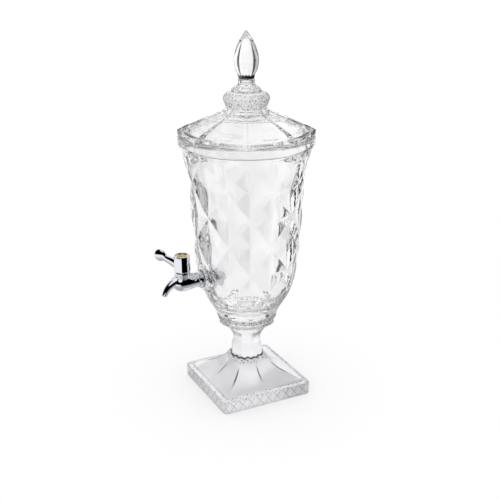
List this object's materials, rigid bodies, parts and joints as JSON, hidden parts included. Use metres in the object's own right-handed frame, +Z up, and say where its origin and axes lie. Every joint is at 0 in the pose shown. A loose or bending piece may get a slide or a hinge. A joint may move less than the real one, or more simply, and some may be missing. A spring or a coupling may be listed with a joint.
{
  "type": "juice dispenser",
  "caption": "Clear pressed-glass juice dispenser with a diamond lattice bowl on a square foot, a loose eight-sided lid with a pointed finial, and a chromed lever tap.",
  "frame": {"origin": "centre of the foot's flat underside", "axes": "+Z up the bowl's axis to the finial, -Y towards the tap"},
  "size_m": [0.16, 0.1916, 0.4411],
  "materials": {
    "clear_glass": "fire-polished pressed glass",
    "clear_cement": "cured clear cement",
    "chrome_plate": "bright chrome plate",
    "nut_steel": "satin",
    "screw_brass": "turned",
    "clear_silicone": "milky silicone",
    "ring_rubber": "matte",
    "plug_brass": "turned",
    "gold_insert": "gold-coloured plate"
  },
  "bodies": {
    "vessel": {"bowl": "clear_glass", "foot": "clear_glass", "foot_bond": "clear_cement", "tap_body": "chrome_plate", "tap_flange": "chrome_plate", "outer_washer": "clear_silicone", "inner_washer": "clear_silicone", "slip_washer": "nut_steel", "back_nut": "nut_steel", "bonnet": "plug_brass"},
    "cover": {"lid": "clear_glass", "finial_bond": "clear_cement", "finial": "clear_glass"},
    "lever": {"tap_lever": "chrome_plate", "valve_plug": "plug_brass", "plug_ring_lower": "ring_rubber", "plug_ring_upper": "ring_rubber", "spring_washer": "nut_steel", "lever_screw": "screw_brass", "hood_insert": "gold_insert"}
  },
  "joints": [
    {"name": "lid_lift", "type": "slide", "parent": "vessel", "child": "cover", "axis": [0, 0, 1], "range_m": [0, 0.12]},
    {"name": "tap_turn", "type": "hinge", "parent": "vessel", "child": "lever", "pos_m": [0, -0.0846, 0.1556], "axis": [0, 0, 1], "range_deg": [-45, 45]}
  ]
}
